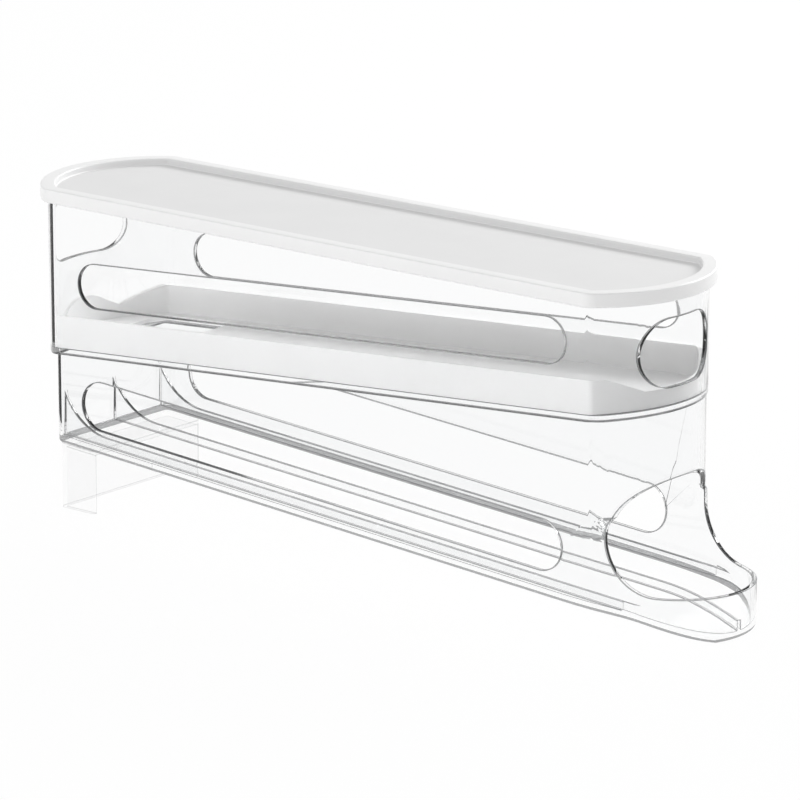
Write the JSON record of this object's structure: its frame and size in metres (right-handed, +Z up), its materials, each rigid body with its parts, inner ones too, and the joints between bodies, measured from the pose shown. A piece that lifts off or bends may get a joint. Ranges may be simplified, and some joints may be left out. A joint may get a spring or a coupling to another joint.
{
  "type": "egg holder",
  "caption": "Long two-tier egg dispenser: clear shells with slot windows, a sloping white tray that drops eggs to a sloping floor and an open scoop, and a white lid.",
  "frame": {"origin": "on the table, under the middle of the holder's length and width", "axes": "+X along the holder to the scoop, +Y across it, +Z up"},
  "size_m": [0.4313, 0.1, 0.17],
  "materials": {
    "white_plastic": "satin moulded",
    "clear_plastic": "clear polished"
  },
  "bodies": {
    "base": {"lower_shell": "clear_plastic", "rear_stand": "clear_plastic"},
    "upper": {"upper_shell": "clear_plastic"},
    "tray": {"ramp_tray": "white_plastic"},
    "cover": {"lid": "white_plastic"}
  },
  "joints": [
    {"name": "upper_lift", "type": "slide", "parent": "base", "child": "upper", "axis": [0, 0, 1], "range_m": [0, 0.06]},
    {"name": "tray_lift", "type": "slide", "parent": "upper", "child": "tray", "axis": [0, 0, 1], "range_m": [0, 0.03]},
    {"name": "lid_lift", "type": "slide", "parent": "upper", "child": "cover", "axis": [0, 0, 1], "range_m": [0, 0.08]}
  ]
}
